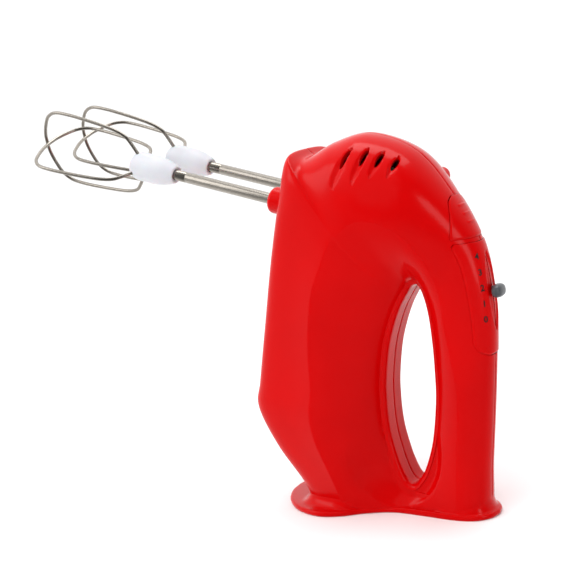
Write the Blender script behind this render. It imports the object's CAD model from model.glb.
import math

import bmesh
import bpy
import numpy as np
from mathutils import Matrix, Vector
from mathutils.bvhtree import BVHTree


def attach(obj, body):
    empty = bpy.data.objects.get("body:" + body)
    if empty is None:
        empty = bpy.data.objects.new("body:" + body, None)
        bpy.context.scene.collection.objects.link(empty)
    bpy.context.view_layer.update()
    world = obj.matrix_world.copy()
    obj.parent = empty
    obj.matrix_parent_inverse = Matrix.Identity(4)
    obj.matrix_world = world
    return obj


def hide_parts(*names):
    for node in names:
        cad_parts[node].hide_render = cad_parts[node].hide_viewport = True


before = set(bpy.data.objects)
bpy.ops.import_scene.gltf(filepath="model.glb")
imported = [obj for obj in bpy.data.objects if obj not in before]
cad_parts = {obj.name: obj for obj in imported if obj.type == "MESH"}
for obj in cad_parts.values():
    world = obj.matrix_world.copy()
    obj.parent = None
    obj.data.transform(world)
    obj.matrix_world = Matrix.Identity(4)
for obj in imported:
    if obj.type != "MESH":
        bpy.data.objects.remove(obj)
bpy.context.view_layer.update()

MM = 0.001                      # the shape code below works in millimetres


def at_mm(x, y, z):
    """Point in metres from a place in millimetres."""
    return Vector((x * MM, y * MM, z * MM))


# ---- Camera ----
CAMERA_AZIMUTH = math.radians(33.5)
CAMERA_ELEVATION = math.radians(11.3)
CAMERA_ROLL = math.radians(5.6)
CAMERA_DISTANCE = 0.6967
CAMERA_LENS = 78.34             # for the 36 mm sensor
CAMERA_TARGET = at_mm(-55.2, 0, 116.5)


def make_camera():
    """Camera with its long axis towards the target, rolled a little about that axis."""
    a, e = CAMERA_AZIMUTH, CAMERA_ELEVATION
    back = Vector((math.sin(a) * math.cos(e), -math.cos(a) * math.cos(e), math.sin(e)))
    right = Vector((math.cos(a), math.sin(a), 0))
    up = back.cross(right)
    c, s = math.cos(CAMERA_ROLL), math.sin(CAMERA_ROLL)
    axes = Matrix((c * right - s * up, s * right + c * up, back)).transposed()
    data = bpy.data.cameras.new("camera")
    data.lens = CAMERA_LENS
    data.sensor_width = 36
    data.clip_start = 0.05
    camera = bpy.data.objects.new("camera", data)
    camera.matrix_world = Matrix.Translation(CAMERA_TARGET + back * CAMERA_DISTANCE) @ axes.to_4x4()
    bpy.context.scene.collection.objects.link(camera)
    bpy.context.scene.camera = camera


make_camera()

# ---- Materials ----
TILT = math.radians(13)         # lean of the beaters' axes


def surface(name, light, dark, mottle, rough, spread, grain, relief, metallic=0.0,
            coat=0.0, sheen=0.0, stretch=(1, 1, 1), bleed=0.0, shine=0.5):
    """Material with mottled colour, uneven roughness and a fine relief, all from noise
    in the object's own metres. mottle and grain are noise scales, relief is in metres."""
    material = bpy.data.materials.new(name)
    material.use_nodes = True
    nodes, links = material.node_tree.nodes, material.node_tree.links
    shader = nodes["Principled BSDF"]
    place = nodes.new("ShaderNodeTexCoord")
    mapping = nodes.new("ShaderNodeMapping")
    mapping.inputs["Rotation"].default_value = (0, TILT, 0)
    mapping.inputs["Scale"].default_value = stretch
    links.new(place.outputs["Object"], mapping.inputs["Vector"])

    def noise(scale, detail):
        node = nodes.new("ShaderNodeTexNoise")
        node.inputs["Scale"].default_value = scale
        node.inputs["Detail"].default_value = detail
        links.new(mapping.outputs["Vector"], node.inputs["Vector"])
        return node.outputs["Fac"]

    ramp = nodes.new("ShaderNodeValToRGB")
    ramp.color_ramp.elements[0].position = 0.3
    ramp.color_ramp.elements[0].color = (*dark, 1)
    ramp.color_ramp.elements[1].position = 0.7
    ramp.color_ramp.elements[1].color = (*light, 1)
    links.new(noise(mottle, 3), ramp.inputs["Fac"])
    links.new(ramp.outputs["Color"], shader.inputs["Base Color"])
    fine = noise(grain, 2)
    span = nodes.new("ShaderNodeMapRange")
    span.inputs["To Min"].default_value = rough - spread
    span.inputs["To Max"].default_value = rough + spread
    links.new(fine, span.inputs["Value"])
    links.new(span.outputs["Result"], shader.inputs["Roughness"])
    bump = nodes.new("ShaderNodeBump")
    bump.inputs["Strength"].default_value = 1.0
    bump.inputs["Distance"].default_value = relief
    links.new(fine, bump.inputs["Height"])
    links.new(bump.outputs["Normal"], shader.inputs["Normal"])
    shader.inputs["Metallic"].default_value = metallic
    shader.inputs["Specular IOR Level"].default_value = shine
    shader.inputs["Coat Weight"].default_value = coat
    shader.inputs["Coat Roughness"].default_value = 0.06
    shader.inputs["Sheen Weight"].default_value = sheen
    shader.inputs["Subsurface Weight"].default_value = bleed
    shader.inputs["Subsurface Scale"].default_value = 0.003
    return material


SPUN = (1, 40, 40)              # stretches the grain into lines along the beaters
FINISHES = {
    "red_plastic": surface("red_plastic", (0.59, 0.0006, 0.001), (0.54, 0.0004, 0.0008), 25,
                           0.16, 0.03, 700, 0.000006, shine=0.16),
    "dark_plastic": surface("dark_plastic", (0.075, 0.08, 0.09), (0.05, 0.054, 0.06), 300,
                            0.3, 0.08, 2500, 0.00001, coat=0.2),
    "white_nylon": surface("white_nylon", (0.66, 0.67, 0.71), (0.60, 0.61, 0.65), 90,
                           0.42, 0.06, 900, 0.00003, bleed=0.2),
    "polished_steel": surface("polished_steel", (0.48, 0.44, 0.39), (0.36, 0.33, 0.29), 60,
                              0.26, 0.07, 110, 0.000004, metallic=1, stretch=SPUN),
    "plain_steel": surface("plain_steel", (0.55, 0.55, 0.56), (0.42, 0.42, 0.43), 200,
                           0.35, 0.1, 1500, 0.00001, metallic=1),
    "cast_zinc": surface("cast_zinc", (0.62, 0.63, 0.65), (0.48, 0.49, 0.51), 90,
                         0.55, 0.1, 900, 0.00004, metallic=1),
    "sintered_bronze": surface("sintered_bronze", (0.58, 0.42, 0.25), (0.44, 0.30, 0.17), 400,
                               0.5, 0.1, 3000, 0.00002, metallic=1),
    "brass": surface("brass", (0.75, 0.60, 0.30), (0.62, 0.47, 0.2), 150,
                     0.3, 0.08, 1200, 0.00001, metallic=1),
    "lamination_steel": surface("lamination_steel", (0.36, 0.36, 0.38), (0.22, 0.22, 0.23), 50,
                                0.5, 0.1, 80, 0.00005, metallic=1, stretch=(1, 1, 30)),
    "copper_winding": surface("copper_winding", (0.62, 0.27, 0.10), (0.40, 0.15, 0.05), 120,
                              0.35, 0.1, 1800, 0.0001, metallic=0.8, coat=0.4),
    "black_plastic": surface("black_plastic", (0.035, 0.035, 0.038), (0.02, 0.02, 0.022), 200,
                             0.45, 0.1, 1500, 0.00002),
    "carbon": surface("carbon", (0.06, 0.06, 0.06), (0.03, 0.03, 0.03), 500,
                      0.7, 0.1, 2500, 0.00002),
    "gear_nylon": surface("gear_nylon", (0.84, 0.82, 0.72), (0.74, 0.71, 0.6), 120,
                          0.45, 0.1, 900, 0.00002, bleed=0.15),
    "rubber": surface("rubber", (0.045, 0.045, 0.047), (0.028, 0.028, 0.03), 150,
                      0.65, 0.08, 1800, 0.00003, sheen=0.2),
    "pale_plastic": surface("pale_plastic", (0.82, 0.79, 0.70), (0.74, 0.7, 0.6), 120,
                            0.45, 0.08, 1200, 0.00002),
    "circuit_board": surface("circuit_board", (0.06, 0.27, 0.13), (0.03, 0.16, 0.07), 250,
                             0.4, 0.1, 900, 0.00003, coat=0.3),
    "film_capacitor": surface("film_capacitor", (0.72, 0.5, 0.1), (0.58, 0.38, 0.06), 150,
                              0.3, 0.08, 900, 0.00002, coat=0.3),
}
INK = surface("digit_ink", (0.012, 0.012, 0.012), (0.004, 0.004, 0.004), 900,
              0.5, 0.1, 3000, 0.000005)


# ---- Mesh helpers ----
def piece(name, verts, faces, body, slot, stands_for=(), sharp=35, material=None):
    """Mesh piece from millimetre points: normals out, smooth but for its sharp edges."""
    mesh = bpy.data.meshes.new(name)
    mesh.from_pydata([tuple(np.asarray(v, float) * MM) for v in verts], [], faces)
    tidy_mesh(mesh, sharp)
    mesh.materials.append(material or FINISHES[slot])
    made = bpy.data.objects.new(name, mesh)
    bpy.context.scene.collection.objects.link(made)
    if body:
        settle(made, body, stands_for)
    return made


def tidy_mesh(mesh, sharp):
    """Welds what coincides, turns the faces outwards and marks the sharp edges."""
    work = bmesh.new()
    work.from_mesh(mesh)
    bmesh.ops.remove_doubles(work, verts=work.verts, dist=0.002 * MM)
    bmesh.ops.dissolve_degenerate(work, edges=work.edges, dist=0.001 * MM)
    bmesh.ops.recalc_face_normals(work, faces=work.faces)
    work.to_mesh(mesh)
    work.free()
    mesh.shade_smooth()
    mesh.set_sharp_from_angle(angle=math.radians(sharp))


def settle(made, body, stands_for):
    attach(made, body)
    if stands_for:
        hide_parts(*stands_for)


def grid_faces(rows, cols, wrap_rows=False, wrap_cols=False, first=0):
    """Quads of a grid of points, stored row after row."""
    faces = []
    for i in range(rows if wrap_rows else rows - 1):
        for j in range(cols if wrap_cols else cols - 1):
            k, m = (i + 1) % rows, (j + 1) % cols
            faces.append((first + i * cols + j, first + i * cols + m,
                          first + k * cols + m, first + k * cols + j))
    return faces


def slab(top, bottom):
    """Closed solid between two grids of points of the same size."""
    rows, cols = top.shape[:2]
    verts = np.concatenate([top.reshape(-1, 3), bottom.reshape(-1, 3)])
    n = rows * cols
    faces = grid_faces(rows, cols) + [f[::-1] for f in grid_faces(rows, cols, first=n)]
    edge = [(0, j) for j in range(cols)] + [(i, cols - 1) for i in range(1, rows)]
    edge += [(rows - 1, j) for j in range(cols - 2, -1, -1)] + [(i, 0) for i in range(rows - 2, 0, -1)]
    ring = [i * cols + j for i, j in edge]
    for a, b in zip(ring, ring[1:] + ring[:1]):
        faces.append((b, a, a + n, b + n))
    return verts, faces


def revolved(profile, segments, place):
    """Closed solid of revolution round z. A profile point is (radius, height)."""
    verts = []
    for r, z in profile:
        for k in range(segments):
            a = 2 * math.pi * k / segments
            verts.append(place @ Vector((r * math.cos(a), r * math.sin(a), z)))
    return verts, grid_faces(len(profile), segments, wrap_rows=True, wrap_cols=True)


def prism(outline, low, high, place):
    """Closed prism of a flat outline, from height low to height high, in a given place."""
    n = len(outline)
    verts = [place @ Vector((x, y, z)) for z in (low, high) for x, y in outline]
    faces = [tuple(range(n))[::-1], tuple(range(n, 2 * n))]
    faces += [(k, (k + 1) % n, n + (k + 1) % n, n + k) for k in range(n)]
    return verts, faces


def circle(r, count=32):
    """Outline of a circle."""
    return [(r * math.cos(2 * math.pi * k / count), r * math.sin(2 * math.pi * k / count))
            for k in range(count)]


def stadium(radius, half, middle, count, phase=0.0):
    """Outline with round ends, long in its second coordinate, whose middle it gives."""
    outline = []
    for k in range(count):
        a = 2 * math.pi * (k + phase) / count
        end = math.copysign(half, math.sin(a))
        outline.append((radius * math.cos(a), middle + radius * math.sin(a) + end))
    return outline


def joined(parts):
    """Several solids as one list of points and one of faces."""
    verts, faces = [], []
    for part_verts, part_faces in parts:
        faces += [tuple(len(verts) + k for k in f) for f in part_faces]
        verts += [tuple(v) for v in part_verts]
    return verts, faces


def cut(made, parts, sharp=35):
    """Takes closed solids out of a piece."""
    verts, faces = joined(parts)
    tool = piece(made.name + "_tool", verts, faces, None, "red_plastic")
    modifier = made.modifiers.new("cut", "BOOLEAN")
    modifier.operation = "DIFFERENCE"
    modifier.solver = "EXACT"
    modifier.object = tool
    bpy.context.view_layer.update()
    graph = bpy.context.evaluated_depsgraph_get()
    mesh = bpy.data.meshes.new_from_object(made.evaluated_get(graph))
    made.modifiers.clear()
    made.data = mesh
    bpy.data.objects.remove(tool)
    tidy_mesh(mesh, sharp)


# ---- Shape of the housing: a ring of cross-sections round the hand opening ----
# Each station: outer point x, z; opening edge x, z; share of the way in where the
# side is widest; half width there; flatness of the outer face; shoulder depth share;
# shoulder half width.
STATIONS = np.array([
    [-36.5,  -5,    7,    34,   0.42, 28,   26, 0.00, 22],
    [-44.5,  13,    5.4,  42,   0.45, 31,   30, 0.00, 24],
    [-59,    34,    4.7,  50,   0.50, 33,   34, 0.00, 25],
    [-69,    56,    4.6,  58,   0.55, 34,   36, 0.00, 26],
    [-65.9,  72,    5.2,  70,   0.56, 34,   37, 0.00, 26],
    [-58.5, 104,    8.3,  88,   0.50, 34,   37, 0.00, 26],
    [-50.1, 141,   12.5, 101,   0.475, 34,  37, 0.00, 26],
    [-42,   176,   16.5, 110,   0.523, 34,  34, 0.01, 26.5],
    [-37.2, 193.6, 19.5, 115,   0.545, 33.5, 30, 0.03, 27.3],
    [-29.5, 191,   21.5, 118,   0.52, 33.5, 25, 0.07, 28.8],
    [-13.5, 198.2, 24,   121.5, 0.515, 33,  20, 0.13, 31],
    [ 5,    200.8, 26,   123,   0.53, 32,   18, 0.20, 32],
    [ 30,   190.8, 28.5, 123,   0.55, 28.5, 16, 0.22, 28.5],
    [ 48.3, 168.5, 31,   118,   0.56, 23,   13, 0.22, 22.5],
    [ 61.5, 144,   33,   108,   0.62, 17.5, 10, 0.26, 17],
    [ 66,   118,   34,    94,   0.66, 15.5,  8, 0.28, 15],
    [ 66,    98,   34.2,  80,   0.60, 15,    8, 0.28, 14.5],
    [ 63.2,  65,   33.5,  62,   0.49, 14.5,  8, 0.28, 14],
    [ 59.2,  28,   30,    40,   0.46, 14.5,  8, 0.28, 14],
    [ 55.5,  -4,   25,    25,   0.40, 14.5, 10, 0.20, 14.5],
    [ 42,   -14,   21,    18.5, 0.30, 14.5, 12, 0.10, 14.5],
    [ 22,   -14,   17.2,  14.8, 0.20, 15,   13, 0.05, 14.5],
    [  3,   -14,   13.2,  16.5, 0.20, 17,   14, 0.05, 15],
    [-20,   -14,    9.6,  24.5, 0.28, 24,   20, 0.00, 19],
])
RIM_W = 10.5                    # half width of the opening's wall
RIM_ROUND = 3                   # rounding of the opening's edge
WALL = 2.4
CREASE_V = 0.55                 # share of a section where the side is widest
RIM_V = 0.88                    # share of a section where the opening's edge begins


def stations_at(s):
    """Values of the ring of stations at the station numbers s, joined smoothly."""
    i = np.floor(s).astype(int)
    t = (s - i)[..., None]
    a, b, c, d = (STATIONS[(i + k) % len(STATIONS)] for k in (-1, 0, 1, 2))
    return (b + t * (c - a) / 2 + t * t * (a - 2.5 * b + 2 * c - d / 2)
            + t ** 3 * (1.5 * (b - c) + (d - a) / 2))


def bezier(a, b, c, d, t):
    """Cubic curve from a to d that b and c pull on."""
    u = 1 - t
    return u ** 3 * a + 3 * u * u * t * b + 3 * u * t * t * c + t ** 3 * d


def skin(s, v, inset=0.0, seam=0.0):
    """Points of the left half's surface for station numbers s and shares v from the outer
    seam (0) to the opening's seam (1), moved in by inset, with a groove along the seams."""
    s, v = np.broadcast_arrays(np.asarray(s, float), np.asarray(v, float))
    st = stations_at(s)
    outer, opening = st[..., 0:2], st[..., 2:4]
    reach = np.linalg.norm(opening - outer, axis=-1)
    inward = (opening - outer) / reach[..., None]
    crest = st[..., 4] * reach
    width = st[..., 5] - inset
    rim = reach - RIM_ROUND - inset
    rw = RIM_W - inset
    t = np.clip(v / CREASE_V, 0, 1)
    depth_a = bezier(inset, inset, inset + st[..., 7] * reach, crest, t)
    half_a = bezier(0, st[..., 6] - inset, st[..., 8] - inset, width, t)
    t = np.clip((v - CREASE_V) / (RIM_V - CREASE_V), 0, 1)
    depth_b = bezier(crest, crest + 0.4 * (rim - crest), rim - 0.12 * (rim - crest), rim, t)
    half_b = bezier(width, width - 0.12 * (width - rw), rw + 0.36 * (width - rw), rw, t)
    t = np.clip((v - RIM_V) / (1 - RIM_V), 0, 1)
    depth_c = rim + RIM_ROUND * np.sin(np.pi / 2 * np.minimum(1, 2 * t))
    half_c = np.where(t < 0.5, rw - RIM_ROUND * (1 - np.cos(np.pi * t)),
                      (rw - RIM_ROUND) * (2 - 2 * t))
    depth = np.where(v < CREASE_V, depth_a, np.where(v < RIM_V, depth_b, depth_c))
    half = np.where(v < CREASE_V, half_a, np.where(v < RIM_V, half_b, half_c))
    groove = seam * np.exp(-(half / 0.4) ** 2)
    depth = depth + np.where(v < 0.5, groove, -groove)
    point = outer + inward * depth[..., None]
    return np.stack([point[..., 0], -half, point[..., 1]], axis=-1)


def inwards(s):
    """Direction from the outer point of a station to the opening."""
    st = stations_at(np.array(float(s)))
    way = Vector((st[2] - st[0], 0, st[3] - st[1]))
    return way.normalized()


def mirrored(points):
    """The same points on the other side of the parting plane."""
    return points * np.array([1, -1, 1])


# ---- Places that the frame gives ----
AXIS_X, AXIS_Z = -43.7, 168.3   # where the beaters' plane meets the front face
HALF_GAP = 16.5                 # distance of a beater's axis from the mirror plane
DRIVE = Matrix.Translation((AXIS_X, 0, AXIS_Z)) @ Matrix.Rotation(TILT, 4, "Y")
SLOT = Matrix.Translation((66.6, 0, 119.5)) @ Matrix.Rotation(math.radians(-5), 4, "Y")
SIDES = {"left": -1, "right": 1}


def on_axis(side):
    """Place on a beater's axis at the front face, with z out along the beater."""
    return (DRIVE @ Matrix.Translation((0, side * HALF_GAP, 0))
            @ Matrix.Rotation(math.radians(-90), 4, "Y"))


# ---- Vents ----
# Lower and upper end of each vent on the left of the dome, and its opening's half length
VENTS = [((-4.5, -29, 178), (2, -18.5, 194.5), 5.6), ((6.5, -29, 179.5), (11, -17, 194.4), 5.0),
         ((15.5, -26, 182), (18.6, -15.5, 192.4), 4.6), ((24, -23, 181.5), (26.4, -14, 189.2), 4.0)]
VENT_HALF_W = 1.45
LEAF_HALF_W = 2.1               # half width of the hollow round a vent
LEAF_DEPTH = 1.5


def vent_frames():
    """For each vent: lower end, direction along it, across it, out of the skin, length."""
    for i, (foot, head, half_len) in enumerate(VENTS):
        foot, head = Vector(foot), Vector(head)
        along = (head - foot).normalized()
        way = Vector((-0.1 + 0.18 * i, -0.8 + 0.07 * i, 0.62))
        way = (way - way.dot(along) * along).normalized()
        yield foot, along, way.cross(along), way, (head - foot).length, half_len


def scoop_vents(points):
    """Presses a leaf-shaped hollow into the skin at each vent."""
    for foot, along, across, way, length, _ in vent_frames():
        q = points - np.array(foot)
        t = q @ np.array(along) / length
        b = q @ np.array(across)
        near = (t > -0.05) & (t < 1.06) & (np.abs(q @ np.array(way)) < 6)
        leaf = LEAF_HALF_W * np.sin(np.pi * np.clip(0.06 + 0.88 * t, 0, 1)) ** 0.7 + 1e-6
        hollow = np.clip(1 - (b / leaf) ** 2, 0, 1) ** 0.8 * np.clip(0.5 + t, 0, 1)
        points = points - np.array(way) * (LEAF_DEPTH * hollow * near)[..., None]
    return points


def vent_cutters():
    """Closed solids that open the vents through the wall."""
    parts = []
    for foot, along, across, _, length, half_len in vent_frames():
        place = Matrix((along, across, along.cross(across))).transposed().to_4x4()
        place.translation = foot + along * (length - half_len - 0.4)
        turn = [2 * math.pi * k / 28 for k in range(28)]
        outline = [(half_len * math.cos(a),
                    VENT_HALF_W * math.sin(a) * (1 + 0.2 * math.cos(a))) for a in turn]
        parts.append(prism(outline, -7, 7, place))
    return parts


SCOOP_X, SCOOP_Z = 12, 36       # middle of the oval hollow below the hand opening
SCOOP_HALF_X, SCOOP_HALF_Z = 24.5, 32.5
SCOOP_DEPTH = 3.2
SCOOP_TOP, SCOOP_FADE = 48, 22  # the hollow starts at this height and deepens over the fade


def scoop_opening(points):
    """Hollows the side below the hand opening, with a crisp U-shaped edge."""
    x, z = points[..., 0], points[..., 2]
    span = ((x - SCOOP_X) / SCOOP_HALF_X) ** 2 + ((z - SCOOP_Z) / SCOOP_HALF_Z) ** 2
    steep = np.clip((1 - span) / 0.5, 0, 1) ** 0.65
    depth = SCOOP_DEPTH * steep * np.clip((SCOOP_TOP - z) / SCOOP_FADE, 0, 1)
    half = np.abs(points[..., 1])
    side = np.where(half > RIM_W, np.maximum(half - depth, RIM_W - 0.5), half)
    return np.stack([x, -side, z], axis=-1)


def shaped_skin(s, v, seam=0.0):
    """The skin with the hollows pressed into it."""
    return scoop_opening(scoop_vents(skin(s, v, seam=seam)))


# ---- Button and switch panel, let into the back of the handle ----
BUTTON_S = (13.02, 13.86)
PANEL_S = (13.96, 16.35)
PROUD = 0.7                     # how far they stand above the handle
SECTION_MM = 45                 # rough length of a section, outer seam to opening
STATION_MM = 25                 # rough distance between stations on the handle
LEVEL_EDGE = 3.6                # bends the edges across the handle so that they lie level


def button_edge(u):
    """Half extent of the button, as a share of the section, along its length u."""
    corner = 1 - 0.45 * np.clip(1 - u / 0.14, 0, 1) ** 2
    corner = corner - 0.06 * np.clip((u - 0.94) / 0.06, 0, 1) ** 2
    return (0.10 + 0.21 * u) * corner


def panel_edge(u):
    """Half extent of the switch panel, as a share of the section, along its length u."""
    arc = np.sqrt(np.clip(1 - (np.clip((u - 0.84) / 0.165, 0, 1)) ** 2, 0, 1))
    return 0.32 * arc * (1 - 0.08 * np.clip(1 - u / 0.03, 0, 1) ** 2)


def bunched(count):
    """Shares from 0 to 1 that lie closer together at both ends."""
    return 0.5 - 0.5 * np.cos(np.pi * np.linspace(0, 1, count))


def patch(s_range, edge, rows, cols, grow=0.0):
    """Grid on the handle's skin, as (points, shares along, shares across, distance in mm
    from the patch's edge)."""
    u = bunched(rows)[:, None]
    w = 2 * bunched(cols)[None, :] - 1
    v = (edge(u) + grow / SECTION_MM) * np.abs(w)
    more = grow / STATION_MM
    s = s_range[0] - more + (s_range[1] - s_range[0] + 2 * more) * u
    s = s - LEVEL_EDGE * v * v * (1 if s_range[1] < 14 else 1 - u)
    points = skin(s, v)
    points[..., 1] = -points[..., 1] * np.sign(w)
    length = STATION_MM * (s_range[1] - s_range[0])
    half = np.abs(points[:, -1:, 1])
    rim = np.minimum(np.minimum(u, 1 - u) * length, (1 - np.abs(w)) * half)
    return points, u, w, rim


def lifted(points, height, way):
    """Points moved out of the handle, against the way in."""
    return points - np.array(way) * np.asarray(height)[..., None]


def patch_cutter(s_range, edge):
    """Closed solid that makes room in the handle for a patch, with a gap round it."""
    points = patch(s_range, edge, 24, 20, grow=0.3)[0]
    way = inwards(sum(s_range) / 2)
    flat = np.ones(points.shape[:2])
    return slab(lifted(points, 3 * flat, way), lifted(points, -9 * flat, way))


def rounded_edge(rim, size):
    """How far a surface falls away near its edge, for an edge rounded to that size."""
    t = 1 - np.clip(rim / size, 0, 1)
    return size * (1 - np.sqrt(1 - t * t))


# ---- Housing halves ----
SCREW_SPOTS = [(-58, 48), (-7, 188), (31, 175), (43, 22), (-24, 13)]
BELLY_SLOTS, BELLY_PITCH = 5, 7
SCREW_HOLE_R = 3.3
GLAND = (Matrix.Translation((-55.5, 0, 29)) @ Matrix.Rotation(math.radians(-90 - 36), 4, "Y"))


def shell_rows():
    """Station numbers of the shell's rows, closest over the dome."""
    return np.concatenate([np.arange(0, 9.4, 0.06), np.arange(9.4, 13.2, 0.03),
                           np.arange(13.2, 24, 0.06)])


def outer_columns():
    """Shares of a section for the shell's columns, closest at the creases and seams."""
    return np.concatenate([[0, 0.0008, 0.0016, 0.0028, 0.005, 0.009],
                           np.arange(0.016, 0.545, 0.0115), [0.545, 0.55, 0.555],
                           np.arange(0.57, 0.875, 0.015), np.arange(0.88, 0.99, 0.008),
                           [0.991, 0.994, 0.9965, 0.998, 0.999, 1]])


def housing_cutters(side):
    """Groups of closed solids, apart from each other, that are taken out of a half. They
    are drawn on the left, for a half that is mirrored afterwards."""
    turn = Matrix.Rotation(math.radians(90), 4, "Y")
    parts = [prism([(-100, -60), (100, -60), (100, 60), (-100, 60)], -60, 2.6, Matrix())]
    parts.append(prism(circle(7.35, 40), -20, 20, on_axis(-1)))
    parts.append(prism(circle(6.4, 40), -12, 18, GLAND))
    groups = [[part] for part in parts]
    groups.append([patch_cutter(BUTTON_S, button_edge)])
    groups.append([patch_cutter(PANEL_S, panel_edge)])
    groups.append(vent_cutters())
    slots = []
    for i in range(BELLY_SLOTS):
        place = DRIVE @ Matrix.Translation((-6, 0, -60 - BELLY_PITCH * i)) @ turn
        slots.append(prism(stadium(1, 3.5, -11.5, 20), 0, 13, place))
    groups.append(slots)
    if side > 0:
        holes = [Matrix.Translation((x, 0, z)) @ Matrix.Rotation(math.radians(90), 4, "X")
                 for x, z in SCREW_SPOTS]
        groups.append([prism(circle(SCREW_HOLE_R), 12, 60, place) for place in holes])
    return groups


def housing_half(name, side):
    """Hollow half of the housing, with its openings cut out."""
    rows, cols = shell_rows()[:, None], outer_columns()[None, :]
    outside = shaped_skin(rows, cols, seam=0.5)
    inside = skin(rows, np.linspace(1, 0, 16)[None, :], inset=WALL)
    points = np.concatenate([outside, inside], axis=1)
    points[..., 1] = np.minimum(points[..., 1], -0.12)
    groups = housing_cutters(side)
    if side > 0:
        points = mirrored(points)
        groups = [[([(x, -y, z) for x, y, z in verts], faces) for verts, faces in group]
                  for group in groups]
    count = points.shape[:2]
    made = piece(name + "_shell", points.reshape(-1, 3),
                 grid_faces(*count, wrap_rows=True, wrap_cols=True), None, "red_plastic")
    for group in groups:
        cut(made, group)
    settle(made, "root", [name + "_housing"])
    return made


for name, side in SIDES.items():
    housing_half(name, side)

# Sleeves in which the housing's screws sit, on the right side
sleeves = []
for x, z in SCREW_SPOTS:
    lift = Matrix.Translation((x, 0, z)) @ Matrix.Rotation(math.radians(-90), 4, "X")
    depth = 13 if z < 30 else 24
    sleeves.append(revolved([(1.8, 8.05), (3.3, 8.05), (3.3, depth), (4.3, depth), (4.3, 7), (1.8, 7)],
                            32, lift))
piece("screw_sleeves", *joined(sleeves), "root", "red_plastic")


# ---- Heel foot ----
FOOT_OUTLINE = [(-62, 0), (-60.3, 10), (-54.5, 21), (-44, 30.5), (-30, 34.5), (-18, 31),
                (-6, 22.5), (8, 16.2), (25, 15.4), (43, 15.6), (54, 13), (60, 6.8), (61.8, 0)]
HEEL_CENTRE = (-10, 0)
HEEL_JOIN = 10                  # height at which the heel's skirt meets the body


def spline_through(points, steps):
    """Catmull-Rom curve through points of any dimension, open at its ends."""
    p = np.array(points, float)
    p = np.concatenate([[2 * p[0] - p[1]], p, [2 * p[-1] - p[-2]]])
    out = []
    for a, b, c, d in zip(p, p[1:], p[2:], p[3:]):
        for k in range(steps):
            t = k / steps
            out.append(b + t * (c - a) / 2 + t * t * (a - 2.5 * b + 2 * c - d / 2)
                       + t ** 3 * (1.5 * (b - c) + (d - a) / 2))
    out.append(p[-2])
    return np.array(out)


def body_bvh():
    """Search tree of the left half's outer surface."""
    rows = np.arange(0, 24, 0.1)[:, None]
    points = shaped_skin(rows, np.linspace(0, 1, 60)[None, :])
    return BVHTree.FromPolygons([tuple(p) for p in points.reshape(-1, 3)],
                                grid_faces(240, 60, wrap_rows=True))


def heel_foot():
    """Flange whose top runs up into the housing in a hollow curve, and its flat underside."""
    tree = body_bvh()
    half = spline_through(FOOT_OUTLINE, 8)
    half[0] = FOOT_OUTLINE[0]
    outline_angle = np.arctan2(half[:, 1], half[:, 0] - HEEL_CENTRE[0])
    outline_reach = np.hypot(half[:, 1], half[:, 0] - HEEL_CENTRE[0])
    order = np.argsort(outline_angle)

    def body_reach(angle, z):
        """Distance from the heel's middle to the housing at a height."""
        way = Vector((math.cos(angle), -math.sin(angle), 0))
        start = Vector((HEEL_CENTRE[0], -0.2, z)) + way * 150
        hit = tree.ray_cast(start, -way)[0]
        return (hit - Vector((HEEL_CENTRE[0], -0.2, z))).length if hit else 20

    angles = np.linspace(0, math.pi, 121)
    rings = []
    for angle in angles:
        edge = float(np.interp(angle, outline_angle[order], outline_reach[order]))
        high = body_reach(angle, HEEL_JOIN)
        low = body_reach(angle, HEEL_JOIN - 2)
        lean = max(-2.5, min(2.5, (low - high) / 2 * 3.5))
        room = max(1.0, edge - 1.6 - min(high, low))
        hollow = min(6.5, room)
        end = max(min(high + lean, edge - 1.8 - hollow), edge - 1.6 - room) + hollow
        profile = [(high - 1.2, HEEL_JOIN + 1), (high - 0.25, HEEL_JOIN + 0.4)]
        for t in np.linspace(0, 1, 12):
            profile.append((bezier(high - 0.1, high + lean * 0.8, end - 0.6 * hollow, end, t),
                            bezier(HEEL_JOIN, HEEL_JOIN - 3.2, 3.15, 3.15, t)))
        for t in np.linspace(0, 90, 7):
            turn = math.radians(t)
            profile.append((edge - 1.5 + 1.5 * math.sin(turn), 1.6 + 1.45 * math.cos(turn)))
        profile += [(edge - 0.1, 0.8), (edge - 0.5, 0.25), (edge - 1.1, 0), (edge - 4, 0)]
        profile += [(edge * share, 0) for share in (0.75, 0.45, 0.15)]
        rings.append([(HEEL_CENTRE[0] + r * math.cos(angle), -r * math.sin(angle), z)
                      for r, z in profile])
    left = np.array(rings)
    right = mirrored(left[-2:0:-1])
    points = np.concatenate([left, right])
    rows, cols = points.shape[:2]
    faces = grid_faces(rows, cols, wrap_rows=True)
    faces.append(tuple(i * cols for i in range(rows)))
    faces.append(tuple(i * cols + cols - 1 for i in range(rows)))
    made = piece("heel_skirt", points.reshape(-1, 3), faces, None, "red_plastic")
    cut(made, [prism(circle(SCREW_HOLE_R), -1, 2, Matrix.Translation((x, 0, 0)))
               for x in (-24, 43)])
    settle(made, "root", ["heel_foot"])


heel_foot()


# ---- Eject button ----
RIDGES = (0.28, 0.48, 0.68)     # middles of the ridges, as shares of the button's length
RIDGE_HEIGHT = 0.55
RIDGE_HALF_W = 0.028            # share of the button's length
RIDGE_REACH = 4.2               # distance from the parting plane at which a ridge ends


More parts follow.
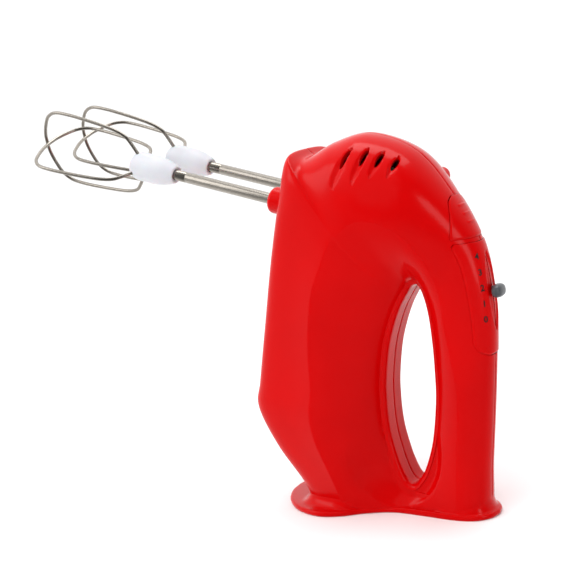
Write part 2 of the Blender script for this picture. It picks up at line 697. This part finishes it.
def eject_button():
    """Ribbed cap that stands a little above the handle."""
    points, u, _, rim = patch(BUTTON_S, button_edge, 90, 70)
    way = inwards(sum(BUTTON_S) / 2)
    height = PROUD - rounded_edge(rim, 0.7)
    across = np.clip(1 - (points[..., 1] / RIDGE_REACH) ** 2, 0, 1) ** 0.35
    for middle in RIDGES:
        height = height + RIDGE_HEIGHT * np.exp(-((u - middle) / RIDGE_HALF_W) ** 4) * across
    top = lifted(points, height, way)
    bottom = lifted(points, np.full(points.shape[:2], -3.0), way)
    piece("eject_cap", *slab(top, bottom), "button", "red_plastic", ["eject_button"], sharp=50)


eject_button()

# ---- Switch panel with the slider's slot ----
SLOT_HALF = 17.6
SLOT_W = 0.55                   # half width of the visible slot
BOAT_HALF = 21.5                # half length of the hollow round the slot
BOAT_HALF_W = 4.4               # half width of that hollow in its middle
BOAT_DEPTH = 1.1
BOAT_WALL = 1.2                 # width of its sloping wall


def along_slot(points):
    """Height of points along the slot, from its middle."""
    lean = math.radians(5)
    return (points[..., 0] - 66.6) * -math.sin(lean) + (points[..., 2] - 119.5) * math.cos(lean)


def panel_grid():
    """Top and bottom of the panel, with the hollow round the slot."""
    points, _, _, rim = patch(PANEL_S, panel_edge, 190, 90)
    height = PROUD - rounded_edge(rim, 0.6)
    z = along_slot(points) / BOAT_HALF
    boat = BOAT_HALF_W * (1 - np.clip(np.abs(z), 0, 1) ** 3)
    step = np.clip((boat - np.abs(points[..., 1])) / BOAT_WALL, 0, 1)
    height = height - BOAT_DEPTH * step * step * (3 - 2 * step)
    way = inwards(sum(PANEL_S) / 2)
    return lifted(points, height, way), lifted(points, np.full(points.shape[:2], -2.2), way)


def switch_panel():
    """Panel with its slot. Gives back a search tree of its top, for the digits."""
    top, bottom = panel_grid()
    made = piece("panel_skin", *slab(top, bottom), None, "red_plastic", sharp=50)
    slit = stadium(SLOT_W, SLOT_HALF, 0, 16, phase=0.5)
    place = SLOT @ Matrix(((0, 0, 1, 0), (1, 0, 0, 0), (0, 1, 0, 0), (0, 0, 0, 1)))
    cut(made, [prism(slit, -9, 6, place)], sharp=50)
    settle(made, "root", ["switch_panel"])
    return BVHTree.FromPolygons([tuple(p) for p in top.reshape(-1, 3)],
                                grid_faces(*top.shape[:2]))


panel_tree = switch_panel()


def speed_digits():
    """Raised digits 0 to 4 beside the slot, one at each speed position."""
    work = bmesh.new()
    for k in range(5):
        curve = bpy.data.curves.new("digit", "FONT")
        curve.body = str(k)
        curve.size = 4.4
        curve.extrude = 0.12
        curve.offset = 0.09
        curve.align_x = "CENTER"
        curve.align_y = "CENTER"
        text = bpy.data.objects.new("digit", curve)
        bpy.context.scene.collection.objects.link(text)
        bpy.context.view_layer.update()
        graph = bpy.context.evaluated_depsgraph_get()
        mesh = bpy.data.meshes.new_from_object(text.evaluated_get(graph))
        start = SLOT @ Vector((30, -7.3, (k - 2) * 8.0))
        spot, normal = panel_tree.ray_cast(start, Vector((-1, 0, 0)))[:2]
        if normal.x < 0:
            normal = -normal
        up = (SLOT.to_3x3() @ Vector((0, 0, 1)))
        side = up.cross(normal).normalized()
        up = normal.cross(side)
        place = Matrix((side, up, normal)).transposed().to_4x4()
        place.translation = spot
        mesh.transform(Matrix.Scale(MM, 4) @ place)
        work.from_mesh(mesh)
        bpy.data.objects.remove(text)
    mesh = bpy.data.meshes.new("speed_digits")
    work.to_mesh(mesh)
    work.free()
    mesh.materials.clear()
    mesh.materials.append(INK)
    made = bpy.data.objects.new("speed_digits", mesh)
    bpy.context.scene.collection.objects.link(made)
    settle(made, "root", [])


speed_digits()


# ---- Speed knob ----
def speed_knob():
    """Domed capsule on a thin stem that runs in the slot."""
    profile = [(0.80, 0.5), (0.92, 0.7), (1.0, 1.4), (1.0, 2.4)]
    profile += [(math.cos(math.radians(a)) ** 0.6, 2.4 + 2.6 * math.sin(math.radians(a)))
                for a in range(10, 90, 10)]
    profile += [(0.12, 5.0)]
    half_w, half_h = 5.4, 3.4
    verts, cols = [], 48
    for share, x in profile:
        for k in range(cols):
            a = 2 * math.pi * k / cols
            y = half_w * share * math.copysign(abs(math.cos(a)) ** 0.75, math.cos(a))
            z = half_h * share * math.copysign(abs(math.sin(a)) ** 0.85, math.sin(a))
            verts.append(SLOT @ Vector((x, y, z)))
    faces = grid_faces(len(profile), cols, wrap_cols=True)
    faces.append(tuple(range(cols)))
    faces.append(tuple(range(len(verts) - cols, len(verts))))
    stem = prism([(-0.4, -2.4), (0.4, -2.4), (0.4, 2.4), (-0.4, 2.4)], -7, 1,
                 SLOT @ Matrix(((0, 0, 1, 0), (1, 0, 0, 0), (0, 1, 0, 0), (0, 0, 0, 1))))
    piece("knob_cap", *joined([(verts, faces), stem]), "speed_slider", "dark_plastic",
          ["speed_knob"], sharp=60)


speed_knob()


# ---- Collars, hubs, shafts and wires ----
def arc(centre, radius, start, stop, count):
    """Points of an arc in a profile, with angles in degrees."""
    return [(centre[0] + radius * math.cos(math.radians(a)),
             centre[1] + radius * math.sin(math.radians(a)))
            for a in np.linspace(start, stop, count)]


def collar(name, side):
    """Flanged socket that a beater's shaft goes into."""
    profile = [(3.4, -7), (8, -7), (8, -5.6), (7.2, -5.6), (7.2, 3.6)]
    profile += arc((4.7, 3.6), 2.5, 8, 82, 8) + [(3.9, 6.1)] + arc((3.9, 5.6), 0.5, 90, 180, 4)
    piece(name + "_socket", *revolved(profile, 72, on_axis(side)), "root", "red_plastic",
          [name + "_collar"])


LOOP_TURN = -22.5               # degrees that the outer loop is turned about its axis
HUB_FROM = 70                   # distance of the hub from the front face
HUB_BORE = 3.02
HUB_PROFILE = [(3.05, 0.6), (4.2, 0), (5.0, 0.5), (5.8, 2.6), (6.8, 6), (7.6, 10), (8.0, 13.5),
               (8.1, 16), (8.3, 19), (8.4, 23), (7.9, 26), (6.6, 28.4), (4.4, 29.8), (1.2, 30.2)]


def hub(name, side):
    """Moulded hub, swollen where each of the four wire ends goes in."""
    profile = spline_through(HUB_PROFILE, 4)
    place = on_axis(side)
    cols = 96
    verts = []
    for r, z in profile:
        swell = math.exp(-((z - 21.5) / 5.5) ** 2)
        for k in range(cols):
            a = 2 * math.pi * k / cols
            lobe = max(0.0, math.cos(4 * (a - math.radians(LOOP_TURN)))) ** 2
            reach = r * (1 + 0.09 * swell * (lobe - 0.4))
            verts.append(place @ Vector((reach * math.cos(a), reach * math.sin(a), HUB_FROM + z)))
    faces = grid_faces(len(profile), cols, wrap_cols=True)
    faces.append(tuple(range(len(verts) - cols, len(verts))))
    inner = len(verts)
    for k in range(cols):
        a = 2 * math.pi * k / cols
        verts.append(place @ Vector((HUB_BORE * math.cos(a), HUB_BORE * math.sin(a), HUB_FROM + 6)))
    faces += [(k, (k + 1) % cols, inner + (k + 1) % cols, inner + k) for k in range(cols)]
    faces.append(tuple(range(inner, inner + cols)))
    piece(name + "_hub", verts, faces, name + "_beater", "white_nylon", [name + "_beater_hub"])


WIRE_R = 1.0
# Half of a wire loop: distance along the axis and from it, from inside the hub to the tip
WIRE_PATH = [(90, 4), (95, 7.5), (98.5, 13), (102, 17.4), (108, 19.9), (117, 21.4), (130, 22.6),
             (143, 23.3), (153, 22.6), (159.5, 18.8), (163.4, 12.2), (165.6, 5.5), (166, 0)]


def wire_loop(side, turn, fall):
    """One loop of wire, its tip lower by the given amount."""
    half = spline_through(WIRE_PATH, 8)
    half[:, 0] -= fall * np.clip((half[:, 0] - 140) / 26, 0, 1) ** 2
    path = np.concatenate([half, (half[-2::-1]) * np.array([1, -1])])
    place = on_axis(side) @ Matrix.Rotation(math.radians(turn), 4, "Z")
    tangent = np.gradient(path, axis=0)
    tangent /= np.linalg.norm(tangent, axis=1)[:, None]
    verts, cols = [], 14
    for (z, r), (tz, tr) in zip(path, tangent):
        for k in range(cols):
            a = 2 * math.pi * k / cols
            out = WIRE_R * math.cos(a)
            verts.append(place @ Vector((r + out * tz, WIRE_R * math.sin(a), z - out * tr)))
    faces = grid_faces(len(path), cols, wrap_cols=True)
    faces.append(tuple(range(cols)))
    faces.append(tuple(range(len(verts) - cols, len(verts))))
    return verts, faces


def beater_shaft(name, side):
    """Drawn shaft with a ring groove at its inner end and a faint rolled mark by the hub."""
    profile = [(0.3, -40), (2.2, -40), (3, -38.5), (3, -35), (2.5, -34.4), (2.5, -33), (3, -32.4),
               (3, 62), (2.9, 62.3), (2.9, 62.9), (3, 63.2), (3, 76), (0.3, 76)]
    return piece(name + "_shaft", *revolved(profile, 64, on_axis(side)), name + "_beater",
                 "polished_steel", [name + "_beater_shaft"], sharp=20)


for name, side in SIDES.items():
    collar(name, side)
    hub(name, side)
    beater_shaft(name, side)
    for which, turn, fall in (("outer", LOOP_TURN, 0.0), ("inner", LOOP_TURN + 90, 2.05)):
        piece(f"{name}_{which}_loop", *wire_loop(side, turn, fall), name + "_beater",
              "polished_steel", [f"{name}_{which}_wire"])


# ---- Shown CAD nodes: finer shading and finishes ----
def smooth_group():
    """Node group that shades smooth, but for edges sharper than 30 degrees."""
    group = bpy.data.node_groups.new("smooth_by_angle", "GeometryNodeTree")
    group.interface.new_socket("Geometry", in_out="INPUT", socket_type="NodeSocketGeometry")
    group.interface.new_socket("Geometry", in_out="OUTPUT", socket_type="NodeSocketGeometry")
    add = group.nodes.new
    start, end = add("NodeGroupInput"), add("NodeGroupOutput")
    faces, edges = add("GeometryNodeSetShadeSmooth"), add("GeometryNodeSetShadeSmooth")
    edges.domain = "EDGE"
    angle, limit = add("GeometryNodeInputMeshEdgeAngle"), add("FunctionNodeCompare")
    limit.operation = "LESS_THAN"
    limit.inputs["B"].default_value = math.radians(30)
    link = group.links.new
    link(angle.outputs["Unsigned Angle"], limit.inputs["A"])
    link(start.outputs[0], faces.inputs["Geometry"])
    link(faces.outputs[0], edges.inputs["Geometry"])
    link(limit.outputs["Result"], edges.inputs["Shade Smooth"])
    link(edges.outputs[0], end.inputs[0])
    return group


shading = smooth_group()
for name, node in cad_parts.items():
    if node.hide_render:
        continue
    slot = node.data.materials[0].name.split(".")[0]
    node.data.materials[0] = FINISHES[slot]
    weld = node.modifiers.new("weld", "WELD")
    weld.merge_threshold = 0.00001
    node.modifiers.new("shading", "NODES").node_group = shading


# ---- Floor, lights and world ----
def floor():
    """Pale ground, far wider than the mixer."""
    size = 40.0
    mesh = bpy.data.meshes.new("floor")
    mesh.from_pydata([(-size, -size, 0), (size, -size, 0), (size, size, 0), (-size, size, 0)],
                     [], [(0, 1, 2, 3)])
    mesh.materials.append(surface("floor_paper", (0.96, 0.96, 0.96), (0.94, 0.94, 0.945), 3,
                                  0.8, 0.05, 60, 0.00002))
    made = bpy.data.objects.new("floor", mesh)
    made.visible_glossy = False
    bpy.context.scene.collection.objects.link(made)


def softbox(name, place, width, height, power):
    """Area light that faces the middle of the mixer."""
    data = bpy.data.lights.new(name, "AREA")
    data.shape = "RECTANGLE"
    data.size = width
    data.size_y = height
    data.energy = power
    made = bpy.data.objects.new(name, data)
    made.location = place
    aim = Vector((0, 0, 0.12)) - Vector(place)
    made.rotation_euler = aim.to_track_quat("-Z", "Y").to_euler()
    bpy.context.scene.collection.objects.link(made)


def world_light():
    """Surroundings that are bright behind the mixer and dim on the side it is seen from."""
    world = bpy.data.worlds.new("studio")
    world.use_nodes = True
    bpy.context.scene.world = world
    nodes, links = world.node_tree.nodes, world.node_tree.links
    place = nodes.new("ShaderNodeTexCoord")
    facing = nodes.new("ShaderNodeVectorMath")
    facing.operation = "DOT_PRODUCT"
    facing.inputs[1].default_value = (-0.55, 0.83, 0.0)
    ramp = nodes.new("ShaderNodeValToRGB")
    ramp.color_ramp.elements[0].position = 0.25
    ramp.color_ramp.elements[0].color = (0.10, 0.10, 0.10, 1)
    ramp.color_ramp.elements[1].position = 0.72
    ramp.color_ramp.elements[1].color = (1, 1, 1, 1)
    half = nodes.new("ShaderNodeMapRange")
    half.inputs["From Min"].default_value = -1
    links.new(place.outputs["Generated"], facing.inputs[0])
    links.new(facing.outputs["Value"], half.inputs["Value"])
    links.new(half.outputs["Result"], ramp.inputs["Fac"])
    links.new(ramp.outputs["Color"], nodes["Background"].inputs["Color"])
    nodes["Background"].inputs["Strength"].default_value = 1.15


def sunshine():
    """Wide soft light that falls evenly on the mixer and the whole floor."""
    data = bpy.data.lights.new("sun", "SUN")
    data.energy = 2.1
    data.angle = math.radians(70)
    made = bpy.data.objects.new("sun", data)
    made.rotation_euler = Vector((0.12, 0.66, -0.72)).to_track_quat("-Z", "Y").to_euler()
    made.visible_glossy = False
    bpy.context.scene.collection.objects.link(made)


floor()
world_light()
sunshine()
softbox("key", (-0.8, -0.6, 0.7), 0.35, 0.8, 1.7)
softbox("side", (0.9, -0.35, 0.35), 0.2, 0.7, 1.3)
softbox("top", (0.0, 0.15, 1.1), 0.9, 0.35, 3.6)
bpy.context.scene.view_settings.view_transform = "Standard"
